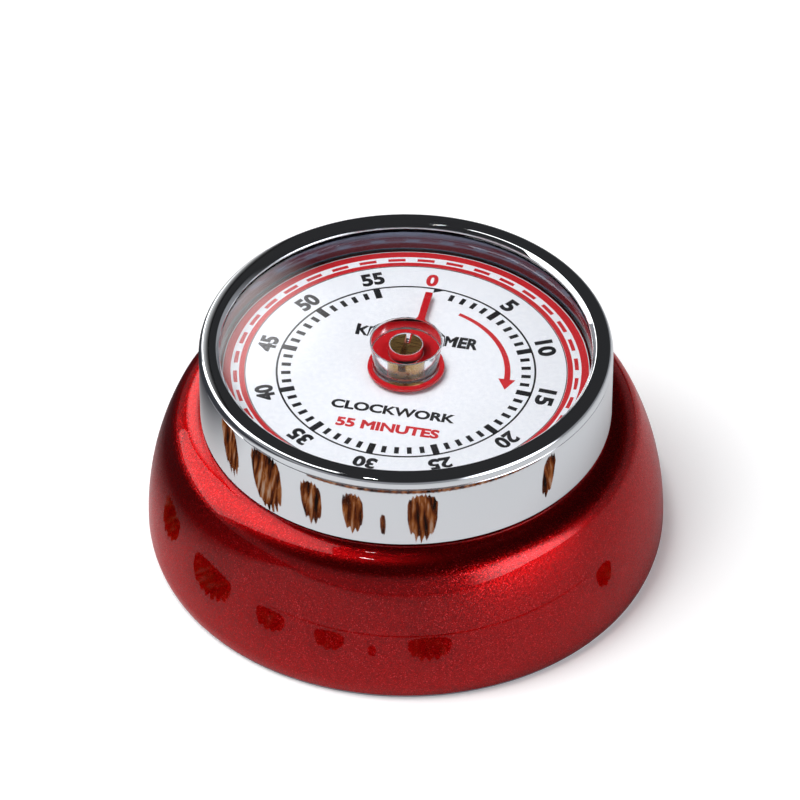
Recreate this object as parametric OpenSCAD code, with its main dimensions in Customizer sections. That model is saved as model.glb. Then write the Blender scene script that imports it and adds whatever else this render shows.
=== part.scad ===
// Round mechanical kitchen timer, 0 to 55 minutes.
// A pressed steel case carries a fixed printed dial. A chromed ring with a domed clear cover turns
// over it, and turns the pointer and the main arbor of the clockwork below. Units are millimetres,
// +Z is up, and the origin is the middle of the flat base.

/* [Case] */
// Diameter of the case at its widest
case_d = 70; // [70:1:90]
// Height of the flat shoulder that the ring stands over
shoulder_z = 21.1; // [21:0.1:27]
// Sheet thickness of the case
wall_t = 0.8; // [0.6:0.1:1.2]
// Height of the widest point of the case
widest_z = 3; // [2:0.5:4]
// Radius of the long side curve
side_r = 38; // [32:1:48]
// Radius of the rounded shoulder
shoulder_r = 4.5; // [3:0.1:5.5]
// Radius that turns the case in at its foot
foot_r = 6; // [3:0.5:6]
// Thickness of the flat base plate
base_t = 0.6; // [0.5:0.1:1]

/* [Turning ring] */
// Height of the chromed ring
ring_h = 11; // [9:0.1:13.5]
// How far the case stands out past the ring
shoulder_w = 7.4; // [6:0.1:9]
// Thickness of the ring's wall
ring_t = 0.7; // [0.6:0.1:1]
// Width of the lip that holds the clear cover
lip_w = 2.8; // [2.4:0.1:3.6]
// Gap under the ring, over the shoulder
ring_gap = 0.15; // [0.1:0.05:0.8]
// Thickness of the clear cover
cover_t = 1.4; // [1:0.1:2]
// How far the clear cover rises in the middle
cover_crown = 2; // [0.5:0.1:2.5]
// Room between the dial and the rim of the clear cover
cover_room = 3.2; // [2.8:0.1:5]
// Radius of the clear column under the cover
column_r = 4.6; // [4:0.1:5.5]

/* [Dial and pointer] */
// Thickness of the printed dial
dial_t = 0.4; // [0.3:0.1:0.8]
// Gap between the dial and the pointer
pointer_gap = 0.6; // [0.5:0.1:1]
// Thickness of the pointer
pointer_t = 0.5; // [0.4:0.1:0.8]
// Length of the pointer from the middle of the dial
pointer_len = 15.1; // [12:0.1:18]
// Width of the pointer
pointer_w = 1; // [0.8:0.1:1.5]

/* [Movement] */
// Thickness of the two movement plates
plate_t = 1; // [0.8:0.1:1.2]
// Distance between the two plates
plate_gap = 10.6; // [10.6:0.1:12]
// Radius of the main arbor
arbor_r = 2.2; // [2:0.1:2.7]
// Module of the great wheel and the barrel wheel
great_mod = 0.54; // [0.5:0.01:0.56]
// Module of the second and third wheels
train_mod = 0.36; // [0.34:0.01:0.38]
// Thickness of the train wheels
wheel_t = 0.7; // [0.5:0.1:0.9]
// Radius of the small pivots
pivot_r = 0.6; // [0.5:0.05:0.7]
// Radius of the bell
bell_r = 17; // [16:0.5:19]
// Depth of the bell
bell_h = 6; // [5:0.5:7]
// Radius of the two magnets
magnet_r = 8; // [6:0.5:9]
// Thickness of the magnets
magnet_t = 3; // [2:0.5:3.5]

/* [Hidden] */
$fn = 96;

// clearances
run_gap = 0.04;     // a turning pivot in its hole
press_gap = 0.01;   // a piece fixed on another
slip_gap = 0.4;     // the ring's skirt round the neck
small_gap = 0.2;    // pieces that pass close by
eps = 0.01;

// radii of the turning ring, its cover and the neck it turns on
case_r = case_d / 2;
ring_r = case_r - shoulder_w;
ring_in_r = ring_r - ring_t;
lip_r = ring_r - lip_w;
neck_r = ring_in_r - slip_gap;
dial_r = lip_r - 0.3;
flange_in_r = neck_r - 6.0;
plate_r = neck_r - wall_t - 1.2;

// heights, from the shoulder up
ring_z = shoulder_z + ring_gap;
ring_top = ring_z + ring_h;
cover_rim_top = ring_top - ring_t;
cover_rim_z = cover_rim_top - cover_t;
dial_top = cover_rim_z - cover_room;
flange_top = dial_top - dial_t;
pointer_z = dial_top + pointer_gap;
pointer_top = pointer_z + pointer_t;
front_top = flange_top - wall_t;
front_z = front_top - plate_t;
back_top = front_z - plate_gap;
back_z = back_top - plate_t;

// levels of the wheels between the plates
barrel_z = back_top + 0.5;
barrel_h = 4.2;
great_z = barrel_z + barrel_h + 0.7;
great_t = 0.8;
washer_t = 0.4;
collar_z = great_z + great_t + washer_t;
collar_t = 0.7;
level_b = great_z + 2.1;
level_c = level_b + 1.6;
pallet_z = level_b + wheel_t + 0.3;

// tooth counts
leaf_n = 8;
great_n = 48;
second_n = 48;
third_n = 40;
escape_n = 20;
strike_n = 12;

// the escape wheel with its pallet pins, and the strike wheel with its verge pins
escape_r = 5;
pin_r = 0.18;
escape_half = 40.5;
escape_pin_rad = escape_r + pin_r + 0.06;
strike_r = 4.2;
verge_pin_r = 0.25;
strike_half = 37.5;
strike_pin_rad = strike_r + verge_pin_r + 0.06;

// places of the arbors, as [radius, angle] round the main arbor
great_c = great_mod * (great_n + leaf_n) / 2;
second_c = train_mod * (second_n + leaf_n) / 2;
third_c = train_mod * (third_n + leaf_n) / 2;
outer_rad = great_c + 0.9;
second_at = [great_c, 0];
third_at = [outer_rad, second_at[1] + span_angle(great_c, outer_rad, second_c)];
escape_at = [outer_rad, third_at[1] + span_angle(outer_rad, outer_rad, third_c)];
pallet_c = escape_pin_rad / cos(escape_half);
pallet_at = [outer_rad, escape_at[1] + span_angle(outer_rad, outer_rad, pallet_c)];
strike_at = [great_c, 300];
verge_c = strike_pin_rad / cos(strike_half);
hammer_rad = bell_r - wall_t - 1.5;
hammer_at = [hammer_rad, strike_at[1] - span_angle(great_c, hammer_rad, verge_c)];
lever_at = [great_c, 205];
pillar_rad = plate_r - 1.9;
pillar_angles = [75, 150, 215, 322];
standoff_rad = plate_r - 2;
standoff_angles = [110, 240, 350];
screw_angles = [20, 130, 255];

// cam, stop and bell
cam_r = 5;
stop_rad = 6;
stop_pin_r = 0.6;
stop_span = 335;
dome_rim = lip_r - 0.1;
bell_t = 0.8;
bell_z = back_z - 1.2 - bell_h;
post_r = 2.5;
magnet_x = magnet_r + 3.5;
magnet_z = 0.2;
keeper_t = 0.8;
foot_z = base_t;
beak_angle = 150;

// hammer
arm_len = 6.5;
arm_z = bell_z + bell_t + 2.4;
head_r = 1.4;
head_rad = bell_r - bell_t - head_r - 0.67;
head_at = [head_rad, hammer_at[1] - span_angle(hammer_rad, head_rad, arm_len)];

// other fixed sizes
arbor_thick = 0.9;      // middle of a small arbor
back_pivot_r = 1.5;     // lower pivot of the main arbor
arbor_top = cover_rim_z + 0.8;
slot_w = 0.8;
slot_deep = 1.6;
screw_r = 0.9;
bell_screw_r = 1;
screw_rad = flange_in_r + 1.9;
rivet_r = 1.5;
base_r = case_r - 0.9;
barrel_r = 10.4;
balance_z = barrel_z + 1.6;
lever_z = level_b + 0.2;
cam_z = level_b;
cam_t = 1.1;
cam_drop = 1.3;
stop_angle = 60;
stop_arm_z = cam_z + cam_t + 0.1;
stop_arm_t = 0.9;
stop_arm_w = 2 * (stop_rad * sin((360 - stop_span) / 2) - stop_pin_r - 0.05);
pallet_reach = pallet_c * sin(escape_half);
verge_reach = verge_c * sin(strike_half);
arbor_places = [second_at, third_at, escape_at, pallet_at, strike_at, hammer_at, lever_at];

// ---------- functions ----------
// the angle at the centre between two points at radii a and b that are c apart
function span_angle(a, b, c) = acos((a * a + b * b - c * c) / (2 * a * b));
function place(p) = [p[0] * cos(p[1]), p[0] * sin(p[1])];
function heading(p, q) = atan2(q[1] - p[1], q[0] - p[0]);
function arc(c, r, a0, a1, n) = [for (i = [0:n]) let (a = a0 + (a1 - a0) * i / n)
    [c[0] + r * cos(a), c[1] + r * sin(a)]];
function involute(a) = tan(a) * 180 / PI - a;
// half the angle that an involute tooth spans at radius r
function half_tooth(pitch, base, half_thick, r) =
    half_thick / pitch * 180 / PI + involute(20) - involute(acos(min(1, base / max(r, base))));
// the turn that brings the leaves at angle theta from a wheel into mesh with it
function mesh_turn(n, turn, theta) =
    theta + 180 - (0.5 - (theta - turn) * n / 360) * 360 / leaf_n;
// outline of a spur gear with teeth of the given addendum and dedendum, in modules
function gear_points(n, mod, add, ded, shift, slack) =
    let (pitch = n * mod / 2, base = pitch * cos(20),
        half_thick = (PI * mod / 2 + shift * mod * 2 * tan(20) - slack) / 2,
        steps = 4, low = pitch - ded * mod, high = pitch + add * mod)
    [for (k = [0:n - 1]) each
        let (mid = 360 * k / n)
        concat(
            [for (i = [0:steps]) let (r = low + (high - low) * i / steps)
                let (a = mid - half_tooth(pitch, base, half_thick, r)) [r * cos(a), r * sin(a)]],
            [for (i = [steps:-1:0]) let (r = low + (high - low) * i / steps)
                let (a = mid + half_tooth(pitch, base, half_thick, r)) [r * cos(a), r * sin(a)]])];
function wheel_points(n, mod) = gear_points(n, mod, 0.48, 1.45, -0.5, 0.1);
function leaf_points(mod) = gear_points(leaf_n, mod, 1.2, 0.73, 0.5, 0.1);
// pointed teeth whose tips are narrow, so that pins can pass between them
function star_points(n, r, depth, tip, root) = [for (k = [0:n - 1]) each let (mid = 360 * k / n)
    [for (p = [[r - depth, -root], [r, -tip], [r, tip], [r - depth, root]])
        [p[0] * cos(mid + p[1]), p[0] * sin(mid + p[1])]]];

// ---------- shared shapes ----------
module ring_solid(r_in, r_out, z, h) {
    translate([0, 0, z]) difference() {
        cylinder(r = r_out, h = h);
        translate([0, 0, -1]) cylinder(r = r_in, h = h + 2);
    }
}

module disc(r, z, h) {
    translate([0, 0, z]) cylinder(r = r, h = h);
}

module at(p) {
    translate([p[0] * cos(p[1]), p[0] * sin(p[1]), 0]) children();
}

// a flat bar with round ends between two points
module link(a, b, w, z, h) {
    length = norm(b - a);
    translate([a[0], a[1], z]) rotate([0, 0, heading(a, b)]) union() {
        translate([0, -w / 2, 0]) cube([length, w, h]);
        cylinder(d = w, h = h, $fn = 32);
        translate([length, 0, 0]) cylinder(d = w, h = h, $fn = 32);
    }
}

// an arbor with thin pivots in the two plates and a thicker middle
module arbor(low, high) {
    disc(pivot_r, low, high - low, $fn = 32);
    disc(arbor_thick, back_top + 0.15, front_z - back_top - 0.3, $fn = 32);
}

module leaves(mod, z, h, turn) {
    translate([0, 0, z]) rotate([0, 0, turn]) linear_extrude(h) polygon(leaf_points(mod));
}

// a toothed wheel with its bore and, where there is room, round windows between the spokes
module toothed_wheel(n, mod, bore, z, h, turn, windows) {
    pitch = n * mod / 2;
    translate([0, 0, z]) difference() {
        rotate([0, 0, turn]) linear_extrude(h) polygon(wheel_points(n, mod));
        translate([0, 0, -1]) cylinder(r = bore, h = h + 2);
        for (k = [0:windows - 1]) rotate([0, 0, 360 * k / max(windows, 1) + 30])
            translate([pitch * 0.56, 0, -1]) cylinder(r = pitch * 0.22, h = h + 2);
    }
}

module screw(r, head, head_h, z, len) {
    // head down, shank up
    disc(head, z, head_h, $fn = 32);
    disc(r, z + head_h - eps, len, $fn = 32);
}

// ---------- case ----------
// curved half profile of the case from its foot to its shoulder, set in by d from the outside
function case_points(d) =
    let (side_c = [case_r - side_r, widest_z],
        foot_c = [case_r - foot_r, widest_z],
        turn_z = shoulder_z - shoulder_r,
        reach = side_r - shoulder_r,
        turn_a = asin((turn_z - widest_z) / reach),
        turn_c = [side_c[0] + reach * cos(turn_a), turn_z],
        foot_a = -asin((widest_z - foot_z) / (foot_r - d)))
    concat(arc(foot_c, foot_r - d, foot_a, 0, 6),
        arc(side_c, side_r - d, 0, turn_a, 16),
        arc(turn_c, shoulder_r - d, turn_a, 90, 10));

// the rounded case and the neck that stands on it
module case_solid(d) {
    rotate_extrude() polygon(concat(case_points(d), [[0, shoulder_z - d], [0, foot_z]]));
    disc(neck_r - d, foot_z, flange_top - d - foot_z);
}

module body_shell() {
    color("firebrick") difference() {
        case_solid(0);
        case_solid(wall_t);
        disc(case_points(wall_t)[0][0], foot_z - 1, 1 + eps);
        disc(flange_in_r, flange_top - 2, 4);
        for (a = screw_angles) at([screw_rad, a]) screw_hole();
    }
}

// countersunk hole for a movement screw
module screw_hole() {
    disc(screw_r + press_gap, front_z + 0.1, flange_top - front_z, $fn = 32);
    translate([0, 0, flange_top - wall_t]) cylinder(r1 = screw_r, r2 = screw_r + wall_t, h = wall_t + eps,
        $fn = 32);
}

module base_plate() {
    color("gainsboro") difference() {
        union() {
            disc(base_r, 0, base_t);
            ring_solid(base_r - wall_t - 1.9, base_r - wall_t - 1.2, 0, base_t + 1.2);
        }
        for (s = [-1, 1]) translate([s * magnet_x, 0, 0]) disc(magnet_r + small_gap, -1, 3);
        for (a = standoff_angles) at([standoff_rad, a]) disc(screw_r + press_gap, -1, 3, $fn = 32);
        disc(rivet_r + press_gap, -1, 3, $fn = 32);
    }
}

module base_screws() {
    color("silver") for (a = standoff_angles) at([standoff_rad, a]) difference() {
        disc(screw_r, 0.1, 4, $fn = 32);
        translate([-2, -0.2, 0]) cube([4, 0.4, 0.5]);
    }
}

module base_standoffs() {
    color("silver") for (a = standoff_angles) at([standoff_rad, a]) difference() {
        union() {
            disc(1.6, base_t, back_z - base_t, $fn = 32);
            disc(screw_r, back_z - eps, plate_t + eps, $fn = 32);
        }
        disc(screw_r + press_gap, base_t - 1, 5, $fn = 32);
    }
}

module magnets() {
    color("dimgray") for (s = [-1, 1]) translate([s * magnet_x, 0, 0]) disc(magnet_r, magnet_z, magnet_t);
}

module magnet_keeper() {
    color("silver") difference() {
        link([-magnet_x, 0], [magnet_x, 0], magnet_r * 1.5, magnet_z + magnet_t, keeper_t);
        disc(rivet_r + press_gap, 0, 10, $fn = 32);
    }
}

module keeper_rivet() {
    color("silver") union() {
        disc(rivet_r, 0.1, magnet_z + magnet_t + keeper_t, $fn = 32);
        disc(rivet_r + 0.8, base_t + 0.05, magnet_z + magnet_t - base_t - 0.1, $fn = 32);
    }
}

// ---------- bell ----------
module bell_post() {
    color("silver") difference() {
        union() {
            disc(post_r, bell_z + bell_t, back_z - bell_z - bell_t, $fn = 48);
            disc(2, back_z - eps, plate_t / 2, $fn = 32);
        }
        disc(bell_screw_r + press_gap, bell_z, 4, $fn = 32);
        disc(back_pivot_r + 0.3, back_z - 1, 3, $fn = 32);
    }
}

module bell() {
    corner = 3;
    color("lightsteelblue") difference() {
        rotate_extrude() polygon(concat([[0, bell_z]],
            arc([bell_r - corner, bell_z + corner], corner, -90, 0, 8),
            [[bell_r, bell_z + bell_h], [bell_r - bell_t, bell_z + bell_h]],
            arc([bell_r - corner, bell_z + corner], corner - bell_t, 0, -90, 8), [[0, bell_z + bell_t]]));
        disc(bell_screw_r + press_gap, bell_z - 1, 3, $fn = 32);
    }
}

module bell_screw() {
    color("silver") difference() {
        union() {
            disc(2.2, bell_z - 0.9, 0.9, $fn = 32);
            disc(bell_screw_r, bell_z - eps, 3.5, $fn = 32);
        }
        translate([-3, -0.25, bell_z - 1]) cube([6, 0.5, 0.6]);
    }
}

// ---------- dial and plates ----------
module dial() {
    color("white") ring_solid(arbor_r + 0.5, dial_r, flange_top, dial_t);
}

module plate_blank(z, pillar_hole) {
    difference() {
        disc(plate_r, z, plate_t);
        for (p = arbor_places) at(p) disc(pivot_r + run_gap, z - 1, 3, $fn = 32);
        for (a = pillar_angles) at([pillar_rad, a]) disc(pillar_hole, z - 1, 3, $fn = 32);
        children();
    }
}

module front_plate() {
    color("goldenrod") plate_blank(front_z, screw_r + press_gap) {
        disc(arbor_r + run_gap, front_z - 1, 3);
        at([stop_rad, stop_angle]) disc(stop_pin_r + press_gap, front_z - 1, 3, $fn = 32);
        for (a = screw_angles) at([screw_rad, a]) disc(screw_r + press_gap, front_z - 1, 3, $fn = 32);
    }
}

module back_plate() {
    color("goldenrod") plate_blank(back_z, screw_r + press_gap) {
        disc(back_pivot_r + run_gap, back_z - 1, 3);
        disc(2 + press_gap, back_z - 1, 1 + plate_t / 2, $fn = 32);
        for (a = standoff_angles) at([standoff_rad, a]) disc(screw_r + press_gap, back_z - 1, 3, $fn = 32);
    }
}

module plate_pillars() {
    color("khaki") for (a = pillar_angles) at([pillar_rad, a]) difference() {
        union() {
            disc(1.5, back_top, plate_gap, $fn = 32);
            disc(screw_r, front_z - eps, plate_t, $fn = 32);
        }
        disc(screw_r, back_top - 1, 4, $fn = 32);
    }
}

module pillar_screws() {
    color("silver") for (a = pillar_angles) at([pillar_rad, a]) difference() {
        screw(screw_r - press_gap, 1.5, 0.8, back_z - 0.8, 3.5);
        translate([-2, -0.2, back_z - 1]) cube([4, 0.4, 0.6]);
    }
}

module movement_screws() {
    color("silver") for (a = screw_angles) at([screw_rad, a]) difference() {
        union() {
            disc(screw_r, front_z + 0.1, flange_top - wall_t - front_z, $fn = 32);
            translate([0, 0, flange_top - wall_t]) cylinder(r1 = screw_r, r2 = screw_r + wall_t - 0.1,
                h = wall_t - 0.05, $fn = 32);
        }
        translate([-2, -0.2, flange_top - 0.5]) cube([4, 0.4, 1]);
    }
}

module stop_pin() {
    color("silver") at([stop_rad, stop_angle]) disc(stop_pin_r, stop_arm_z, front_top - stop_arm_z, $fn = 32);
}

// ---------- turning ring ----------
module bezel_ring() {
    lip_turn = 0.6;
    lip_drop = 1.3;
    color("silver") rotate_extrude() polygon(concat(
        [[ring_in_r, ring_z], [ring_r - 0.15, ring_z], [ring_r, ring_z + 0.15]],
        [for (a = [0:15:90]) [ring_r - lip_turn * (1 - cos(a)), ring_top - lip_drop * (1 - sin(a))]],
        [[lip_r + 1.1, ring_top], [lip_r + 0.3, ring_top - 0.25], [lip_r, ring_top - ring_t + 0.1],
        [lip_r, ring_top - ring_t], [ring_in_r, ring_top - ring_t]]));
}

// dome of the clear cover, as the top of a ball that rises over the rim
function dome_r() = (dome_rim * dome_rim + cover_crown * cover_crown) / (2 * cover_crown);
function dome_points(z) = arc([0, z + cover_crown - dome_r()], dome_r(),
    90 - asin(dome_rim / dome_r()), 90, 16);

module clear_cover() {
    color("lightcyan", 0.4) difference() {
        union() {
            rotate_extrude() polygon(concat([[0, cover_rim_z + cover_crown]],
                [for (i = [16:-1:0]) dome_points(cover_rim_z)[i]],
                [[ring_in_r - press_gap, cover_rim_z], [ring_in_r - press_gap, cover_rim_top]],
                dome_points(cover_rim_top)));
            disc(column_r, pointer_top, cover_rim_z + cover_crown + 0.2 - pointer_top);
        }
        difference() {
            disc(arbor_r + press_gap, pointer_top - 1, arbor_top + small_gap - pointer_top + 1);
            translate([-slot_w / 2 + 0.05, -arbor_r - 1, arbor_top - slot_deep + small_gap])
                cube([slot_w - 0.1, 2 * arbor_r + 2, slot_deep + 1]);
        }
    }
}

module cover_ring() {
    skirt_z = dial_top + 0.1;
    color("silver") rotate_extrude() polygon([[lip_r, skirt_z], [lip_r + 0.6, skirt_z],
        [lip_r + 0.6, cover_rim_z - 0.6], [ring_in_r - press_gap, cover_rim_z - 0.6],
        [ring_in_r - press_gap, cover_rim_z], [lip_r, cover_rim_z]]);
}

module pointer() {
    color("red") difference() {
        union() {
            disc(column_r + 0.55, pointer_z, pointer_t);
            translate([-pointer_w / 2, 0, pointer_z]) cube([pointer_w, pointer_len, pointer_t]);
        }
        disc(arbor_r + press_gap, pointer_z - 1, 3);
    }
}

// ---------- main arbor ----------
module main_arbor() {
    color("goldenrod") difference() {
        union() {
            disc(back_pivot_r, back_z - 0.3, plate_t + 0.6);
            disc(arbor_r, back_top + 0.1, arbor_top - back_top - 0.1);
        }
        translate([-slot_w / 2, -arbor_r - 1, arbor_top - slot_deep])
            cube([slot_w, 2 * arbor_r + 2, slot_deep + 1]);
    }
}

module great_wheel() {
    color("gold") toothed_wheel(great_n, great_mod, arbor_r + press_gap, great_z, great_t, 0, 6);
}

module clutch_spring() {
    color("orange") difference() {
        ring_solid(arbor_r + press_gap, 5.2, great_z + great_t, washer_t);
        for (k = [0:2]) rotate([0, 0, 120 * k]) translate([3.9, 0, 0]) disc(0.8, 0, 40, $fn = 32);
    }
}

module clutch_collar() {
    color("gold") ring_solid(arbor_r + press_gap, 3.6, collar_z, collar_t);
}

// a round cam with a drop for the alarm lever, and the arm that meets the stop pin at both ends
module alarm_cam() {
    drop_half = (360 - stop_span) / 2 + 10;
    drop_mid = beak_angle - (360 - stop_span) / 2;
    color("khaki") difference() {
        union() {
            disc(cam_r, cam_z, cam_t);
            rotate([0, 0, stop_angle - (360 - stop_span) / 2]) translate([0, -stop_arm_w / 2, stop_arm_z])
                cube([stop_rad + stop_pin_r, stop_arm_w, stop_arm_t]);
            disc(3.6, cam_z + cam_t - eps, stop_arm_z + stop_arm_t - cam_z - cam_t + eps);
        }
        disc(arbor_r + press_gap, cam_z - 1, 10);
        difference() {
            translate([0, 0, cam_z - 1]) linear_extrude(cam_t + 1 - eps) polygon([[0, 0],
                for (i = [-4:4]) let (a = drop_mid + drop_half * i / 4) [8 * cos(a), 8 * sin(a)]]);
            disc(cam_r - cam_drop, cam_z - 2, 10);
        }
    }
}

// ---------- train ----------
module second_arbor() {
    color("silver") at(second_at) union() {
        arbor(back_z - 0.3, front_top + 0.3);
        leaves(great_mod, great_z - 0.3, great_t + 0.6, mesh_turn(great_n, 0, second_at[1]));
    }
}

module second_wheel() {
    color("gold") at(second_at) toothed_wheel(second_n, train_mod, arbor_thick + press_gap, level_b, wheel_t, 0, 5);
}

module third_arbor() {
    theta = heading(place(second_at), place(third_at));
    color("silver") at(third_at) union() {
        arbor(back_z - 0.3, front_top + 0.3);
        leaves(train_mod, level_b - 0.2, wheel_t + 0.4, mesh_turn(second_n, 0, theta));
    }
}

module third_wheel() {
    color("gold") at(third_at) toothed_wheel(third_n, train_mod, arbor_thick + press_gap, level_c, wheel_t, 0, 5);
}

module escape_arbor() {
    theta = heading(place(third_at), place(escape_at));
    color("silver") at(escape_at) union() {
        arbor(back_z - 0.3, front_top + 0.3);
        leaves(train_mod, level_c - 0.2, wheel_t + 0.4, mesh_turn(third_n, 0, theta));
    }
}

module star_wheel(n, r, depth, tip, root, turn) {
    translate([0, 0, level_b]) difference() {
        rotate([0, 0, turn]) linear_extrude(wheel_t) polygon(star_points(n, r, depth, tip, root));
        disc(arbor_thick + press_gap, -1, 5, $fn = 32);
    }
}

module escape_wheel() {
    theta = heading(place(escape_at), place(pallet_at));
    color("gold") at(escape_at) star_wheel(escape_n, escape_r, 1.2, 1.2, 4.5, theta + 180 / escape_n);
}

module pallet_arbor() {
    color("silver") at(pallet_at) arbor(back_z - 0.3, front_top + 0.3);
}

// two arms that carry the pins, either side of the line from one arbor to the other
module verge_arms(at_p, to_p, half, reach) {
    theta = heading(place(at_p), place(to_p));
    difference() {
        union() {
            disc(1.6, pallet_z, wheel_t, $fn = 32);
            for (s = [-1, 1]) link([0, 0], pin_spot(theta, s, half, reach), 1.1, pallet_z, wheel_t);
        }
        disc(arbor_thick + press_gap, pallet_z - 1, 5, $fn = 32);
        for (s = [-1, 1]) translate(pin_spot(theta, s, half, reach))
            disc(pin_hole(reach) + press_gap, pallet_z - 1, 5, $fn = 32);
    }
}

function pin_spot(theta, s, half, reach) = let (a = theta + s * (90 - half))
    [reach * cos(a), reach * sin(a)];
function pin_hole(reach) = reach > pallet_reach - eps ? pin_r : verge_pin_r;

module verge_pins_at(at_p, to_p, half, reach, r) {
    theta = heading(place(at_p), place(to_p));
    for (s = [-1, 1]) translate(pin_spot(theta, s, half, reach))
        disc(r, level_b, pallet_z + wheel_t - level_b, $fn = 32);
}

module pallet_lever() {
    color("khaki") at(pallet_at) verge_arms(pallet_at, escape_at, escape_half, pallet_reach);
}

module pallet_pins() {
    color("silver") at(pallet_at) verge_pins_at(pallet_at, escape_at, escape_half, pallet_reach, pin_r);
}

module balance_bar() {
    half_len = 4.2;
    color("khaki") at(pallet_at) rotate([0, 0, pallet_at[1]]) difference() {
        union() {
            link([0, -half_len], [0, half_len], 1.4, balance_z, 0.8);
            disc(1.8, balance_z, 1.6, $fn = 32);
            for (s = [-1, 1]) translate([0, s * half_len, 0]) disc(1.3, balance_z, 1.8, $fn = 32);
        }
        disc(arbor_thick + press_gap, balance_z - 1, 5, $fn = 32);
    }
}

// ---------- mainspring ----------
module spring_barrel() {
    color("gold") difference() {
        disc(barrel_r, back_top, barrel_z + barrel_h - back_top);
        disc(barrel_r - 0.6, barrel_z, barrel_h + 1);
        disc(arbor_r + small_gap, back_top - 1, 10);
    }
}

module mainspring() {
    coils = 7;
    strip = 0.3;
    r_in = arbor_r + 0.3;
    grow = (barrel_r - 0.6 - small_gap - strip - r_in) / coils;
    steps = 20;
    color("slategray") translate([0, 0, barrel_z + 0.3]) linear_extrude(barrel_h - 0.8)
        polygon([for (side = [0, 1], i = [0:coils * steps]) let (k = side == 0 ? i : coils * steps - i,
            r = r_in + side * strip + grow * k / steps, a = 360 * k / steps) [r * cos(a), r * sin(a)]]);
}

// ---------- alarm ----------
module strike_arbor() {
    color("silver") at(strike_at) union() {
        arbor(back_z - 0.3, front_top + 0.3);
        leaves(great_mod, great_z - 0.3, great_t + 0.6, mesh_turn(great_n, 0, strike_at[1]));
    }
}

module strike_wheel() {
    theta = heading(place(strike_at), place(hammer_at));
    color("gold") at(strike_at) star_wheel(strike_n, strike_r, 1.2, 1.5, 8, theta + 180 / strike_n);
}

module hammer_arbor() {
    color("silver") at(hammer_at) arbor(arm_z - 0.3, front_top + 0.3);
}

module hammer_verge() {
    color("khaki") at(hammer_at) verge_arms(hammer_at, strike_at, strike_half, verge_reach);
}

module verge_pins() {
    color("silver") at(hammer_at) verge_pins_at(hammer_at, strike_at, strike_half, verge_reach, verge_pin_r);
}

module hammer_arm() {
    color("khaki") difference() {
        union() {
            link(place(hammer_at), place(head_at), 1.4, arm_z, 0.8);
            at(hammer_at) disc(1.2, arm_z, 1.4, $fn = 32);
        }
        at(hammer_at) disc(pivot_r + press_gap, arm_z - 1, 5, $fn = 32);
        at(head_at) disc(0.5, arm_z - 1, 5, $fn = 32);
    }
}

module hammer_head() {
    color("silver") at(head_at) union() {
        disc(head_r, arm_z + 0.8, 1.6, $fn = 32);
        disc(0.5 - press_gap, arm_z, 1, $fn = 32);
    }
}

// the lever whose beak falls into the drop of the cam and whose tail frees the hammer
module alarm_lever() {
    beak = (cam_r + 0.15) * [cos(beak_angle), sin(beak_angle)];
    beak_end = (cam_r + 2.2) * [cos(beak_angle), sin(beak_angle)];
    tail = 15.4 * [cos(252), sin(252)];
    color("khaki") difference() {
        union() {
            link(place(lever_at), beak_end, 1.4, lever_z, 0.8);
            link(beak_end, beak + 0.45 * [cos(beak_angle), sin(beak_angle)], 0.9, lever_z, 0.8);
            link(place(lever_at), tail, 1.4, lever_z, 0.8);
            at(lever_at) disc(1.8, lever_z, 1.2, $fn = 32);
        }
        at(lever_at) disc(arbor_thick + press_gap, lever_z - 1, 5, $fn = 32);
    }
}

module alarm_lever_arbor() {
    color("silver") at(lever_at) arbor(back_z - 0.3, front_top + 0.3);
}

body_shell();
base_plate();
base_screws();
base_standoffs();
magnets();
magnet_keeper();
keeper_rivet();
bell_post();
bell();
bell_screw();
dial();
front_plate();
back_plate();
plate_pillars();
pillar_screws();
movement_screws();
stop_pin();
bezel_ring();
clear_cover();
cover_ring();
pointer();
main_arbor();
great_wheel();
clutch_spring();
clutch_collar();
alarm_cam();
second_arbor();
second_wheel();
third_arbor();
third_wheel();
escape_arbor();
escape_wheel();
pallet_arbor();
pallet_lever();
pallet_pins();
balance_bar();
spring_barrel();
mainspring();
strike_arbor();
strike_wheel();
hammer_arbor();
hammer_verge();
verge_pins();
hammer_arm();
hammer_head();
alarm_lever();
alarm_lever_arbor();
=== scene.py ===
"""Looks of a wind-up kitchen timer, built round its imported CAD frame. Lengths are given in millimetres."""
import logging
import math
from dataclasses import dataclass, field
from enum import Enum

import bmesh
import bpy
from mathutils import Matrix, Vector

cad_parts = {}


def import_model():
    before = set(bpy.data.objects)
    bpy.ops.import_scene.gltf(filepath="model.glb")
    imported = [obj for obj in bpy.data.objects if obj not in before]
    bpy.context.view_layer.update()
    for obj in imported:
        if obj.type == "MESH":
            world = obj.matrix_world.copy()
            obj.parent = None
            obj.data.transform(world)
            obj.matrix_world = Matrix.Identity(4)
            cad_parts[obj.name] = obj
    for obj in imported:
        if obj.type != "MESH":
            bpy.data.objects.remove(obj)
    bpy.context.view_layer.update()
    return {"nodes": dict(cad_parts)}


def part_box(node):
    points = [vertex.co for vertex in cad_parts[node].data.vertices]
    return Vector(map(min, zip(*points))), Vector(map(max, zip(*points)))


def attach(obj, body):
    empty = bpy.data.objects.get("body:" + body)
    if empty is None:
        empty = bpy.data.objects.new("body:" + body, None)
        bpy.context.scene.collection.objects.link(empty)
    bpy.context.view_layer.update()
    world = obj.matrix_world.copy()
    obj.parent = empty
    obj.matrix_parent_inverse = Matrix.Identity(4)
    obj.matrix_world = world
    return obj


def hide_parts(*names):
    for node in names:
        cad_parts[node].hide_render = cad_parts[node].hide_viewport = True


log = logging.getLogger("kitchen_timer")

MM = 0.001
TURN = 2 * math.pi
# a radius below this, in millimetres, is a point on the axis
ON_AXIS = 1e-6
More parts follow.
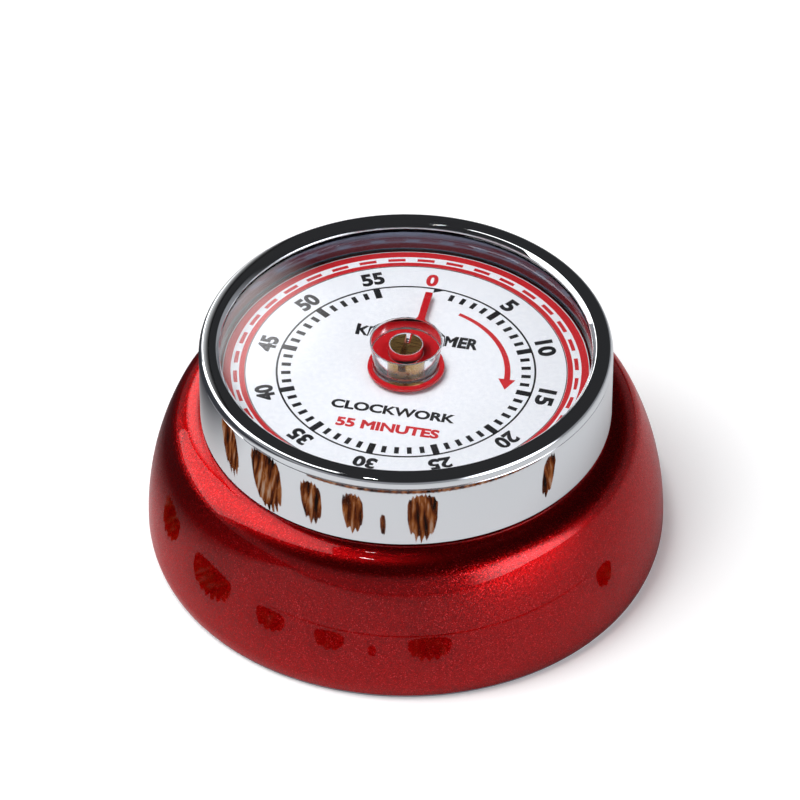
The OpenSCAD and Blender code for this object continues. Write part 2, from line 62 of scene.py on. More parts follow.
# steps round the largest turned pieces
FINE_STEPS = 320
# steps round a printed circle
CIRCLE_STEPS = 240

Point = tuple[float, float]
Triple = tuple[float, float, float]
Shade = tuple[float, float, float, float]


class Body(str, Enum):
    """The CAD bodies that a piece can ride on."""

    CASE = "case"
    RING = "setting_ring"


class Slot(str, Enum):
    """The record's material slots that a new piece can take its finish from."""

    ENAMEL = "red_metallic_enamel"
    CHROME = "polished_chrome"
    CLEAR = "clear_acrylic"
    DIAL = "printed_dial"
    LACQUER = "red_lacquer"


# ---------- colour and node helpers ----------


def linear(hex_colour: str) -> Shade:
    """Turns an sRGB hex colour into linear light.

    Args:
        hex_colour: the colour as "#rrggbb".

    Returns:
        Linear red, green and blue, and full opacity.
    """
    parts = [int(hex_colour[i : i + 2], 16) / 255 for i in (1, 3, 5)]
    light = [c / 12.92 if c <= 0.04045 else ((c + 0.055) / 1.055) ** 2.4 for c in parts]
    return (light[0], light[1], light[2], 1.0)


def add_node(
    tree: bpy.types.NodeTree,
    kind: str,
    settings: dict[str, object] | None = None,
    inputs: dict[str | int, object] | None = None,
    links: dict[str | int, bpy.types.NodeSocket] | None = None,
) -> bpy.types.Node:
    """Adds a node with its settings, input values and incoming links.

    Args:
        tree: the node tree that the node goes in.
        kind: the node's type name.
        settings: properties of the node.
        inputs: values of input sockets, by name or number.
        links: output sockets to join to input sockets, by name or number.

    Returns:
        The new node.
    """
    node = tree.nodes.new(kind)
    for key, value in (settings or {}).items():
        setattr(node, key, value)
    for key, value in (inputs or {}).items():
        node.inputs[key].default_value = value
    for key, socket in (links or {}).items():
        tree.links.new(socket, node.inputs[key])
    return node


def add_vector_math(
    tree: bpy.types.NodeTree,
    operation: str,
    first: bpy.types.NodeSocket,
    second: bpy.types.NodeSocket | Triple | None = None,
) -> bpy.types.Node:
    """Adds a vector sum, product or length.

    Args:
        tree: the node tree that the node goes in.
        operation: what it does.
        first: the socket it starts from.
        second: the other vector, as a socket or as a value, where it takes one.

    Returns:
        The new node.
    """
    node = add_node(tree, "ShaderNodeVectorMath", {"operation": operation}, links={0: first})
    if isinstance(second, bpy.types.NodeSocket):
        tree.links.new(second, node.inputs[1])
    elif second is not None:
        node.inputs[1].default_value = second
    return node


def add_fade(
    tree: bpy.types.NodeTree, source: bpy.types.NodeSocket, span: Point, ends: Point = (0.0, 1.0)
) -> bpy.types.NodeSocket:
    """Adds a soft change from one value to another.

    Args:
        tree: the node tree that the node goes in.
        source: the value that is looked up.
        span: where the change begins and ends.
        ends: the values before and after it.

    Returns:
        The socket of the changed value.
    """
    inputs = {"From Min": span[0], "From Max": span[1], "To Min": ends[0], "To Max": ends[1]}
    return add_node(
        tree, "ShaderNodeMapRange", {"interpolation_type": "SMOOTHSTEP"}, inputs, {"Value": source}
    ).outputs[0]


def set_ramp(node: bpy.types.Node, stops: list[tuple[float, str]]) -> None:
    """Gives a colour ramp its stops.

    Args:
        node: the ramp node.
        stops: places from 0 to 1, each with a hex colour.
    """
    elements = node.color_ramp.elements
    while len(elements) < len(stops):
        elements.new(0.5)
    for element, (place, colour) in zip(elements, stops):
        element.position = place
        element.color = linear(colour)


def empty_material(name: str) -> tuple[bpy.types.Material, bpy.types.NodeTree]:
    """Makes a material with no nodes in it.

    Args:
        name: the material's name.

    Returns:
        The material and its node tree.
    """
    material = bpy.data.materials.new(name)
    material.use_nodes = True
    material.node_tree.nodes.clear()
    return material, material.node_tree


# ---------- finishes ----------


@dataclass(frozen=True)
class Finish:
    """A material and how its surface was made."""

    name: str
    colour: str
    roughness: float

    def build(self) -> bpy.types.Material:
        """Makes the material.

        Returns:
            The finished material.
        """
        material, tree = empty_material(self.name)
        shader = add_node(tree, "ShaderNodeBsdfPrincipled")
        shader.inputs["Base Color"].default_value = linear(self.colour)
        shader.inputs["Roughness"].default_value = self.roughness
        output = add_node(tree, "ShaderNodeOutputMaterial", links={"Surface": shader.outputs[0]})
        self.dress(tree, shader, output)
        return material

    def place(self, tree: bpy.types.NodeTree) -> bpy.types.NodeSocket:
        """Gives the position on the object, in metres.

        Args:
            tree: the material's node tree.

        Returns:
            The position socket.
        """
        return add_node(tree, "ShaderNodeTexCoord").outputs["Object"]

    def add_grain(self, tree: bpy.types.NodeTree, size: float, detail: float) -> bpy.types.Node:
        """Adds an uneven pattern of a real size.

        Args:
            tree: the material's node tree.
            size: how wide its patches are, in millimetres.
            detail: how many finer patterns lie in it.

        Returns:
            The pattern's node.
        """
        return add_node(
            tree,
            "ShaderNodeTexNoise",
            inputs={"Scale": 1 / (size * MM), "Detail": detail},
            links={"Vector": self.place(tree)},
        )

    def add_tone(
        self,
        tree: bpy.types.NodeTree,
        shader: bpy.types.Node,
        source: bpy.types.NodeSocket,
        stops: list[tuple[float, str]],
    ) -> None:
        """Colours the surface by a pattern.

        Args:
            tree: the material's node tree.
            shader: its principled shader.
            source: the pattern's socket.
            stops: places in the pattern from 0 to 1, each with a hex colour.
        """
        ramp = add_node(tree, "ShaderNodeValToRGB", links={0: source})
        set_ramp(ramp, stops)
        tree.links.new(ramp.outputs[0], shader.inputs["Base Color"])

    def add_relief(
        self,
        tree: bpy.types.NodeTree,
        shader: bpy.types.Node,
        source: bpy.types.Node,
        strength: float,
        depth: float,
    ) -> None:
        """Makes a pattern's light and dark areas stand up and dip a little.

        Args:
            tree: the material's node tree.
            shader: its principled shader.
            source: the pattern's node.
            strength: how much of the relief is felt.
            depth: height of the relief, in millimetres.
        """
        bump = add_node(
            tree,
            "ShaderNodeBump",
            inputs={"Strength": strength, "Distance": depth * MM},
            links={"Height": source.outputs[0]},
        )
        tree.links.new(bump.outputs[0], shader.inputs["Normal"])

    def dress(self, tree: bpy.types.NodeTree, shader: bpy.types.Node, output: bpy.types.Node) -> None:
        """Adds what this finish has beyond a plain surface.

        Args:
            tree: the material's node tree.
            shader: its principled shader.
            output: its output node.
        """
        raise NotImplementedError


@dataclass(frozen=True)
class CandyEnamel(Finish):
    """Clear red lacquer over metal flake, under a hard gloss coat: deep red that sparkles in fine points."""

    flake_mm: float = 0.11
    flake_tilt: float = 0.16
    deep: str = "#720205"
    bright: str = "#b40a0c"
    glint: str = "#d8343a"
    edge_tint: str = "#ff8c8c"
    coat: float = 0.45
    coat_roughness: float = 0.03
    coat_ior: float = 1.45

    def dress(self, tree: bpy.types.NodeTree, shader: bpy.types.Node, output: bpy.types.Node) -> None:
        """Adds the flakes, their tilt and the gloss coat.

        Args:
            tree: the material's node tree.
            shader: its principled shader.
            output: its output node.
        """
        place = self.place(tree)
        flake = add_node(
            tree,
            "ShaderNodeTexVoronoi",
            {"feature": "F1"},
            {"Scale": 1 / (self.flake_mm * MM), "Randomness": 1.0},
            {"Vector": place},
        )
        level = add_node(tree, "ShaderNodeSeparateColor", links={0: flake.outputs["Color"]})
        stops = [(0.0, self.deep), (0.5, self.colour), (0.93, self.bright), (1.0, self.glint)]
        self.add_tone(tree, shader, level.outputs[0], stops)
        # each flake leans its own way by a little
        lean = add_vector_math(tree, "SUBTRACT", flake.outputs["Color"], (0.5, 0.5, 0.5))
        tilt = add_vector_math(tree, "SCALE", lean.outputs[0])
        tilt.inputs["Scale"].default_value = self.flake_tilt
        normal = add_node(tree, "ShaderNodeNewGeometry").outputs["Normal"]
        leaning = add_vector_math(tree, "ADD", normal, tilt.outputs[0])
        unit = add_vector_math(tree, "NORMALIZE", leaning.outputs[0])
        tree.links.new(unit.outputs[0], shader.inputs["Normal"])
        shader.inputs["Metallic"].default_value = 1.0
        # the flakes stay red where the skin turns away
        shader.inputs["Specular Tint"].default_value = linear(self.edge_tint)
        shader.inputs["Coat Weight"].default_value = self.coat
        shader.inputs["Coat Roughness"].default_value = self.coat_roughness
        shader.inputs["Coat IOR"].default_value = self.coat_ior


@dataclass(frozen=True)
class PolishedMetal(Finish):
    """Buffed and plated metal: a mirror, faintly hazy in patches where the buff went over it."""

    haze_mm: float = 6.0
    haze: float = 0.05
    wave_mm: float = 0.004

    def dress(self, tree: bpy.types.NodeTree, shader: bpy.types.Node, output: bpy.types.Node) -> None:
        """Adds the haze in roughness and a very slight unevenness.

        Args:
            tree: the material's node tree.
            shader: its principled shader.
            output: its output node.
        """
        place = self.place(tree)
        shader.inputs["Metallic"].default_value = 1.0
        patches = add_node(
            tree,
            "ShaderNodeTexNoise",
            inputs={"Scale": 1 / (self.haze_mm * MM), "Detail": 5.0, "Roughness": 0.6},
            links={"Vector": place},
        )
        span = add_node(
            tree,
            "ShaderNodeMapRange",
            inputs={
                "From Min": 0.35,
                "From Max": 0.75,
                "To Min": self.roughness,
                "To Max": self.roughness + self.haze,
            },
            links={"Value": patches.outputs[0]},
        )
        tree.links.new(span.outputs[0], shader.inputs["Roughness"])
        self.add_relief(tree, shader, patches, 0.25, self.wave_mm)


@dataclass(frozen=True)
class BrushedMetal(Finish):
    """Cut or drawn metal with fine tool lines, which spread its highlights."""

    line_mm: float = 0.12
    stretch: float = 14.0
    smoother: float = 0.75
    rougher: float = 1.4
    line_depth: float = 0.01

    def dress(self, tree: bpy.types.NodeTree, shader: bpy.types.Node, output: bpy.types.Node) -> None:
        """Adds the tool lines to roughness and relief.

        Args:
            tree: the material's node tree.
            shader: its principled shader.
            output: its output node.
        """
        place = self.place(tree)
        shader.inputs["Metallic"].default_value = 1.0
        along = add_node(
            tree,
            "ShaderNodeMapping",
            inputs={"Scale": (1.0, self.stretch, self.stretch)},
            links={"Vector": place},
        )
        lines = add_node(
            tree,
            "ShaderNodeTexNoise",
            inputs={"Scale": 1 / (self.line_mm * MM * self.stretch), "Detail": 3.0},
            links={"Vector": along.outputs[0]},
        )
        rough = add_node(
            tree,
            "ShaderNodeMapRange",
            inputs={
                "From Min": 0.3,
                "From Max": 0.7,
                "To Min": self.roughness * self.smoother,
                "To Max": self.roughness * self.rougher,
            },
            links={"Value": lines.outputs[0]},
        )
        tree.links.new(rough.outputs[0], shader.inputs["Roughness"])
        self.add_relief(tree, shader, lines, 0.3, self.line_depth)


@dataclass(frozen=True)
class ClearAcrylic(Finish):
    """Moulded and polished acrylic: clear, with sharp reflections, and it lets lamp light pass."""

    ior: float = 1.49
    passed: Shade = (0.97, 0.97, 0.97, 1.0)

    def dress(self, tree: bpy.types.NodeTree, shader: bpy.types.Node, output: bpy.types.Node) -> None:
        """Makes it glass that lamps shine through.

        Args:
            tree: the material's node tree.
            shader: its principled shader.
            output: its output node.
        """
        shader.inputs["Transmission Weight"].default_value = 1.0
        shader.inputs["IOR"].default_value = self.ior
        passing = add_node(tree, "ShaderNodeBsdfTransparent", inputs={"Color": self.passed})
        path = add_node(tree, "ShaderNodeLightPath")
        mix = add_node(
            tree,
            "ShaderNodeMixShader",
            links={0: path.outputs["Is Shadow Ray"], 1: shader.outputs[0], 2: passing.outputs[0]},
        )
        tree.links.new(mix.outputs[0], output.inputs["Surface"])


@dataclass(frozen=True)
class DialEnamel(Finish):
    """White lacquer sprayed on a steel dial: even, a little soft, with the finest orange peel."""

    peel_mm: float = 0.6
    peel_depth: float = 0.01
    dip: str = "#edf0f4"
    coat: float = 0.15

    def dress(self, tree: bpy.types.NodeTree, shader: bpy.types.Node, output: bpy.types.Node) -> None:
        """Adds the orange peel and a trace of tone.

        Args:
            tree: the material's node tree.
            shader: its principled shader.
            output: its output node.
        """
        peel = self.add_grain(tree, self.peel_mm, 3.0)
        self.add_tone(tree, shader, peel.outputs[0], [(0.3, self.dip), (0.7, self.colour)])
        self.add_relief(tree, shader, peel, 0.2, self.peel_depth)
        shader.inputs["Coat Weight"].default_value = self.coat


@dataclass(frozen=True)
class Ink(Finish):
    """Screen-printed ink: flat colour, with a film that is a little thinner in places."""

    grain_mm: float = 0.35
    thin: str = "#ffffff"

    def dress(self, tree: bpy.types.NodeTree, shader: bpy.types.Node, output: bpy.types.Node) -> None:
        """Adds the uneven film.

        Args:
            tree: the material's node tree.
            shader: its principled shader.
            output: its output node.
        """
        film = self.add_grain(tree, self.grain_mm, 2.0)
        self.add_tone(tree, shader, film.outputs[0], [(0.35, self.colour), (0.8, self.thin)])


@dataclass(frozen=True)
class Ferrite(Finish):
    """Pressed and ground ferrite: dark grey, dull, with a fine grain."""

    grain_mm: float = 0.3
    grain_depth: float = 0.02
    ground: str = "#5a5b60"

    def dress(self, tree: bpy.types.NodeTree, shader: bpy.types.Node, output: bpy.types.Node) -> None:
        """Adds the grain in tone and relief.

        Args:
            tree: the material's node tree.
            shader: its principled shader.
            output: its output node.
        """
        grain = self.add_grain(tree, self.grain_mm, 6.0)
        self.add_tone(tree, shader, grain.outputs[0], [(0.3, self.colour), (0.75, self.ground)])
        self.add_relief(tree, shader, grain, 0.4, self.grain_depth)


class Palette:
    """Every finish of the timer, built once."""

    def __init__(self) -> None:
        """Builds the materials."""
        self.enamel = CandyEnamel("candy_red_flake_enamel", "#960508", 0.3).build()
        self.chrome = PolishedMetal("polished_chrome_plate", "#dfe1e4", 0.025, haze=0.03).build()
        # painted shade: a darker, bluer copy of the chrome for the wall down inside the ring, under the lip
        self.inner_wall = PolishedMetal("chrome_wall_painted_shade", "#666a7a", 0.14, haze=0.08).build()
        self.clear = ClearAcrylic("moulded_clear_acrylic", "#fbfcff", 0.0).build()
        self.dial = DialEnamel("sprayed_white_dial", "#f6f8fa", 0.42).build()
        self.black_ink = Ink("black_screen_ink", "#0b0b0d", 0.5, thin="#1c1c20").build()
        self.red_ink = Ink("red_screen_ink", "#c3121b", 0.5, thin="#cf2429").build()
        self.lacquer = Ink("red_pointer_lacquer", "#b80c16", 0.22, thin="#c4161e").build()
        self.brass = BrushedMetal("turned_brass", "#c9a25c", 0.28).build()
        self.steel = BrushedMetal("ground_steel", "#a9adb4", 0.3).build()
        self.zinc = PolishedMetal("zinc_plated_steel", "#c4c7cd", 0.28, haze_mm=1.6, haze=0.16).build()
        self.spring = PolishedMetal("blued_spring_steel", "#4a5568", 0.22, haze=0.1).build()
        self.ferrite = Ferrite("ground_ferrite", "#2c2d31", 0.7).build()


# ---------- mesh helpers ----------


def rounded(corners: list[Triple], steps: int = 8) -> list[Point]:
    """Rounds the corners of a closed outline.

    Args:
        corners: radius, height and rounding of each corner, where 0 leaves it sharp.
        steps: points on each rounding.

    Returns:
        The outline's points.
    """
    points: list[Point] = []
    count = len(corners)
    for index, (x, y, fillet) in enumerate(corners):
        here = Vector((x, y))
        if fillet <= 0:
            points.append((x, y))
            continue
        before = Vector(corners[index - 1][:2]) - here
        after = Vector(corners[(index + 1) % count][:2]) - here
        before.normalize()
        after.normalize()
        half = before.angle(after) / 2
        reach = fillet / math.tan(half)
        centre = here + (before + after).normalized() * (fillet / math.sin(half))
        start = here + before * reach - centre
        end = here + after * reach - centre
        sweep = start.angle_signed(end)
        for step in range(steps + 1):
            turned = start.copy()
            turned.rotate(Matrix.Rotation(-sweep * step / steps, 2))
            points.append(tuple(centre + turned))
    return points


def finish_mesh(
    mesh_name: str, bm: bmesh.types.BMesh, material: bpy.types.Material, sharp: float
) -> bpy.types.Object:
    """Turns a bmesh into an object in the scene, in metres.

    Args:
        mesh_name: the object's name.
        bm: the mesh, in millimetres.
        material: its material.
        sharp: edges that turn by more than this many degrees stay sharp.

    Returns:
        The new object.
    """
    bmesh.ops.scale(bm, vec=(MM, MM, MM), verts=bm.verts)
    bmesh.ops.recalc_face_normals(bm, faces=bm.faces)
    mesh = bpy.data.meshes.new(mesh_name)
    bm.to_mesh(mesh)
    bm.free()
    for polygon in mesh.polygons:
        polygon.use_smooth = True
    mesh.set_sharp_from_angle(angle=math.radians(sharp))
    mesh.materials.append(material)
    obj = bpy.data.objects.new(mesh_name, mesh)
    bpy.context.scene.collection.objects.link(obj)
    return obj


def lathe(
    name: str, outline: list[Point], material: bpy.types.Material, segments: int = 256, sharp: float = 40.0
) -> bpy.types.Object:
    """Turns a closed outline round the Z axis.

    Args:
        name: the object's name.
        outline: radius and height of each point, in millimetres.
        material: its material.
        segments: steps round the axis.
        sharp: edges that turn by more than this many degrees stay sharp.

    Returns:
        The new object.
    """
    bm = bmesh.new()
    angles = [TURN * k / segments for k in range(segments)]
    rings: list[list[bmesh.types.BMVert]] = []
    for radius, height in outline:
        if radius < ON_AXIS:
            rings.append([bm.verts.new((0, 0, height))])
            continue
        rings.append([bm.verts.new((radius * math.cos(a), radius * math.sin(a), height)) for a in angles])
    for low, high in zip(rings, rings[1:] + rings[:1]):
        if len(low) == 1 and len(high) == 1:
            continue
        for k in range(segments):
            n = (k + 1) % segments
            if len(low) == 1:
                bm.faces.new((low[0], high[n], high[k]))
            elif len(high) == 1:
                bm.faces.new((low[k], low[n], high[0]))
            else:
                bm.faces.new((low[k], low[n], high[n], high[k]))
    return finish_mesh(name, bm, material, sharp)


def add_prism(bm: bmesh.types.BMesh, outline: list[Point], low: float, high: float) -> None:
    """Adds a flat prism to a mesh.

    Args:
        bm: the mesh, in millimetres.
        outline: its outline, in order.
        low: height of its underside.
        high: height of its top.
    """
    bottom = [bm.verts.new((x, y, low)) for x, y in outline]
    top = [bm.verts.new((x, y, high)) for x, y in outline]
    bm.faces.new(bottom[::-1])
    bm.faces.new(top)
    for k, vert in enumerate(bottom):
        n = (k + 1) % len(bottom)
        bm.faces.new((vert, bottom[n], top[n], top[k]))


def add_band(
    bm: bmesh.types.BMesh,
    inner: float,
    outer: float,
    low: float,
    high: float,
    start: float = 0.0,
    sweep: float = 360.0,
    steps: int = 180,
) -> None:
    """Adds a flat ring, or a part of one, to a mesh.

    Args:
        bm: the mesh, in millimetres.
        inner: inner radius.
        outer: outer radius.
        low: height of its underside.
        high: height of its top.
        start: clockwise angle from +Y where it starts, in degrees.
        sweep: how far round it goes, in degrees.
        steps: pieces round it.
    """
    whole = sweep >= 360
    section = ((inner, low), (inner, high), (outer, high), (outer, low))
    rows = []
    for k in range(steps if whole else steps + 1):
        x, y = clock(1.0, start + sweep * k / steps)
        rows.append([bm.verts.new((x * r, y * r, z)) for r, z in section])
    pairs = list(zip(rows, rows[1:] + rows[:1])) if whole else list(zip(rows, rows[1:]))
    for here, there in pairs:
        for k in range(4):
            n = (k + 1) % 4
            bm.faces.new((here[k], here[n], there[n], there[k]))
    if not whole:
        bm.faces.new(rows[0])
        bm.faces.new(rows[-1][::-1])


def clock(radius: float, degrees: float) -> Point:
    """Gives the point at a clockwise angle from +Y.

    Args:
        radius: distance from the middle.
        degrees: clockwise angle from +Y.

    Returns:
        The point's x and y.
    """
    angle = math.radians(degrees)
    return (radius * math.sin(angle), radius * math.cos(angle))


def box_mm(node: str) -> tuple[Vector, Vector]:
    """Gives a CAD node's corners.

    Args:
        node: the node's name.

    Returns:
        Its lowest and highest corners, in millimetres.
    """
    low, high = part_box(node)
    return Vector(low) / MM, Vector(high) / MM


def settle(obj: bpy.types.Object, body: Body, slot: Slot, *nodes: str) -> None:
    """Hangs a piece on the CAD body that it moves with, hides the CAD nodes that it replaces and logs it.

    Args:
        obj: the piece.
        body: the CAD body that it moves with.
        slot: the record's slot that the piece's finish belongs to; not used.
        nodes: the CAD nodes that it replaces.
    """
    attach(obj, body.value)
    if nodes:
        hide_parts(*nodes)
    log.info("piece %s on %s, %d faces", obj.name, body.value, len(obj.data.polygons))


# ---------- sub-assemblies ----------


@dataclass
class Case:
    """The pressed and enamelled steel case."""

    palette: Palette
    side_r: float = 38.0
    shoulder_r: float = 4.5
    foot_r: float = 6.0
    widest_z: float = 3.0
    wall: float = 0.8
    ring_gap: float = 0.15
    neck_gap: float = 1.1
    seat_w: float = 6.0
    neck_root: float = 0.3
    neck_edge: float = 0.4
    inner_edge: float = 0.1

    def outline(self) -> list[Point]:
        """Works out the half section of the case.

        Returns:
            Radius and height of each point.
        """
        low, high = box_mm("body_shell")
        ring_low, ring_high = box_mm("bezel_ring")
        outer = high.x
        shoulder = ring_low.z - self.ring_gap
        neck = ring_high.x - self.neck_gap
        seat_in = neck - self.seat_w
        outside = self.skin(outer, shoulder, low.z, 0.0)
        inside = self.skin(outer, shoulder, low.z, self.wall)
        neck_corners = [
            (*outside[-1], 0),
            (neck, shoulder, self.neck_root),
            (neck, high.z, self.neck_edge),
            (seat_in, high.z, self.inner_edge),
            (seat_in, high.z - self.wall, self.inner_edge),
            (neck - self.wall, high.z - self.wall, self.inner_edge),
            (neck - self.wall, shoulder - self.wall, self.inner_edge),
            (*inside[-1], 0),
        ]
        return outside + rounded(neck_corners)[1:-1] + inside[::-1]

    def skin(self, outer: float, shoulder: float, foot: float, inset: float) -> list[Point]:
        """Works out the curved side, from the foot to the shoulder.

        Args:
            outer: widest radius.
            shoulder: height of the flat shoulder.
            foot: height of the lower edge.
            inset: how far inside the outer face it lies.

        Returns:
            Radius and height of each point.
        """
        reach = self.side_r - self.shoulder_r
        turn_z = shoulder - self.shoulder_r
        turn = math.asin((turn_z - self.widest_z) / reach)
        turn_x = outer - self.side_r + reach * math.cos(turn)
        foot_turn = -math.asin((self.widest_z - foot) / (self.foot_r - inset))
        return (
            arc((outer - self.foot_r, self.widest_z), self.foot_r - inset, foot_turn, 0.0, 12)
            + arc((outer - self.side_r, self.widest_z), self.side_r - inset, 0.0, turn, 48)[1:]
            + arc((turn_x, turn_z), self.shoulder_r - inset, turn, math.pi / 2, 24)[1:]
        )

    def build(self) -> None:
        """Makes the case."""
        shell = lathe("enamelled_case", self.outline(), self.palette.enamel, segments=FINE_STEPS)
        # it is kept out of what the ring mirrors, which is the pale floor round it
        shell.visible_glossy = False
        settle(shell, Body.CASE, Slot.ENAMEL, "body_shell")


def arc(centre: Point, radius: float, start: float, end: float, steps: int) -> list[Point]:
    """Gives points along an arc.

    Args:
        centre: its centre.
        radius: its radius.
        start: first angle, in radians.
        end: last angle, in radians.
        steps: pieces along it.

    Returns:
        The points, both ends included.
    """
    span = [start + (end - start) * k / steps for k in range(steps + 1)]
    return [(centre[0] + radius * math.cos(a), centre[1] + radius * math.sin(a)) for a in span]


@dataclass
class SettingRing:
    """The chromed ring, its clear cover, the wall under the cover and the pointer."""

    palette: Palette
    wall: float = 0.7
    lip_w: float = 2.8
    lip_round: Point = (0.6, 1.25)
    lip_slope: float = 0.5
    lip_drop: Point = (0.08, 0.45)
    crease: Point = (0.07, 0.09)
    sheet: float = 0.6
    cover_t: float = 1.4
    cover_gap: float = 0.1
    crown: float = 2.0
    column_r: float = 4.6
    column_root: float = 0.6
    bore_gap: float = 0.06
    bore_room: float = 0.2
    needle_half: float = 0.5
    pointer_edge: float = 0.08

    def build(self) -> None:
        """Makes the ring's pieces."""
        self.build_ring()
        self.build_wall()
        self.build_cover()
        self.build_pointer()

    def build_ring(self) -> None:
        """Makes the chromed ring: a straight wall, a crease, a rolled edge and a flat lip."""
        low, high = box_mm("bezel_ring")
        outer, top = high.x, high.z
        inner, lip = outer - self.wall, outer - self.lip_w
        across, down = self.lip_round
        deep, half = self.crease
        crease_z = top - down - half
        rolled = arc((0.0, 0.0), 1.0, 0.0, math.pi / 2, 24)
        edge = [(outer - across * (1 - x), top - down * (1 - y), 0) for x, y in rolled]
        corners = [
            (inner, low.z, 0.1),
            (outer, low.z, 0.2),
            (outer, crease_z - half, 0.03),
            (outer - deep, crease_z, 0.02),
            *edge,
            (lip + self.lip_slope, top, 0.2),
            (lip + self.lip_drop[0], top - self.lip_drop[1], 0.12),
            (lip, top - self.wall, 0.05),
            (inner, top - self.wall, 0.1),
        ]
        ring = lathe("chromed_ring", rounded(corners, 6), self.palette.chrome, segments=FINE_STEPS, sharp=30)
        settle(ring, Body.RING, Slot.CHROME, "bezel_ring")

    def build_wall(self) -> None:
        """Makes the polished wall between the cover and the dial, in chrome darkened as painted shade."""
        low, high = box_mm("cover_ring")
        inner = box_mm("bezel_ring")[1].x - self.lip_w
        flange = high.z - self.sheet
        corners = [
            (inner, low.z, 0.15),
            (inner + self.sheet, low.z, 0.1),
            (inner + self.sheet, flange, 0.05),
            (high.x, flange, 0.05),
            (high.x, high.z, 0.05),
            (inner, high.z, 0.05),
        ]
        wall = lathe("inner_wall", rounded(corners, 4), self.palette.inner_wall, sharp=30)
        settle(wall, Body.RING, Slot.CHROME, "cover_ring")

    def build_cover(self) -> None:
        """Makes the crowned clear cover with the column moulded under it."""
        low, high = box_mm("clear_cover")
        rim_top = high.z - self.crown
        rim_low = rim_top - self.cover_t
        dome_rim = box_mm("bezel_ring")[1].x - self.lip_w - self.cover_gap
        ball = (dome_rim**2 + self.crown**2) / (2 * self.crown)
        half = math.asin(dome_rim / ball)
        dome = arc((0.0, self.crown - ball), ball, math.pi / 2, math.pi / 2 - half, 24)
        arbor_high = box_mm("main_arbor")[1]
        bore_r = arbor_high.x + self.bore_gap
        bore_top = arbor_high.z + self.bore_room
        root_r = self.column_r + self.column_root
        top = [(0.0, high.z)] + [(x, rim_top + z) for x, z in dome[1:]]
        rim = [(high.x, rim_top), (high.x, rim_low)]
        under = [(x, rim_low + z) for x, z in reversed(dome) if x > root_r]
        dome_at = rim_low + self.crown
        column = rounded(
            [
                (root_r, dome_at, 0),
                (self.column_r, dome_at, 0.3),
                (self.column_r, low.z, 0.2),
                (bore_r, low.z, 0.1),
                (bore_r, bore_top, 0.2),
                (0.0, bore_top, 0),
            ],
            5,
        )
        outline = top + rim + under + column
        cover = lathe("clear_cover_moulding", outline, self.palette.clear, sharp=30)
        settle(cover, Body.RING, Slot.CLEAR, "clear_cover")

    def build_pointer(self) -> None:
        """Makes the lacquered pointer: a disc with a needle, pressed from thin sheet."""
        low, high = box_mm("pointer")
        disc_r, tip, half = high.x, high.y, self.needle_half
        root = math.degrees(math.asin(half / disc_r))
        steps = 120
        rim = [clock(disc_r, root + (360 - 2 * root) * k / steps) for k in range(steps + 1)]
        bm = bmesh.new()
        add_prism(bm, rim + [(-half, tip), (half, tip)], low.z, high.z)
        pointer = finish_mesh("pressed_pointer", bm, self.palette.lacquer, 30)
        add_bevel(pointer, self.pointer_edge)
        settle(pointer, Body.RING, Slot.LACQUER, "pointer")


def thicken(bm: bmesh.types.BMesh, amount: float, longest: float = 1.5) -> None:
    """Adds a rim round the outline of flat faces, so that thin strokes print bolder.

    Args:
        bm: flat faces in the XY plane.
        amount: width of the rim.
        longest: how far a sharp corner may reach, as a multiple of the width.
    """
    edges = [edge for edge in bm.edges if edge.is_boundary]
    outward: dict[bmesh.types.BMVert, list[Vector]] = {}
    for edge in edges:
        middle = (edge.verts[0].co + edge.verts[1].co) / 2
        along = edge.verts[1].co - edge.verts[0].co
        side = Vector((along.y, -along.x, 0)).normalized()
        if side.dot(edge.link_faces[0].calc_center_median() - middle) > 0:
            side.negate()
        for vert in edge.verts:
            outward.setdefault(vert, []).append(side)
    rim = {}
    for vert, sides in outward.items():
        mean = sum(sides, Vector((0, 0, 0))).normalized()
        reach = min(1 / max(mean.dot(sides[0]), 0.1), longest)
        rim[vert] = bm.verts.new(vert.co + mean * amount * reach)
    for edge in edges:
        start, end = edge.verts
        bm.faces.new((start, end, rim[end], rim[start]))
    bmesh.ops.recalc_face_normals(bm, faces=bm.faces)


def add_bevel(obj: bpy.types.Object, width: float, segments: int = 3) -> None:
    """Breaks an object's sharp edges.

    Args:
        obj: the object.
        width: width of the broken edge, in millimetres.
        segments: pieces across it.
    """
    bevel = obj.modifiers.new("broken_edges", "BEVEL")
    bevel.width = width * MM
    bevel.segments = segments
    bevel.limit_method = "ANGLE"
    bevel.angle_limit = math.radians(30)
    bevel.harden_normals = False
    apply_modifiers(obj)


def apply_modifiers(obj: bpy.types.Object) -> None:
    """Writes an object's modifiers into its mesh.

    Args:
        obj: the object.
    """
    graph = bpy.context.evaluated_depsgraph_get()
    graph.update()
    mesh = bpy.data.meshes.new_from_object(obj.evaluated_get(graph))
    obj.modifiers.clear()
    obj.data = mesh


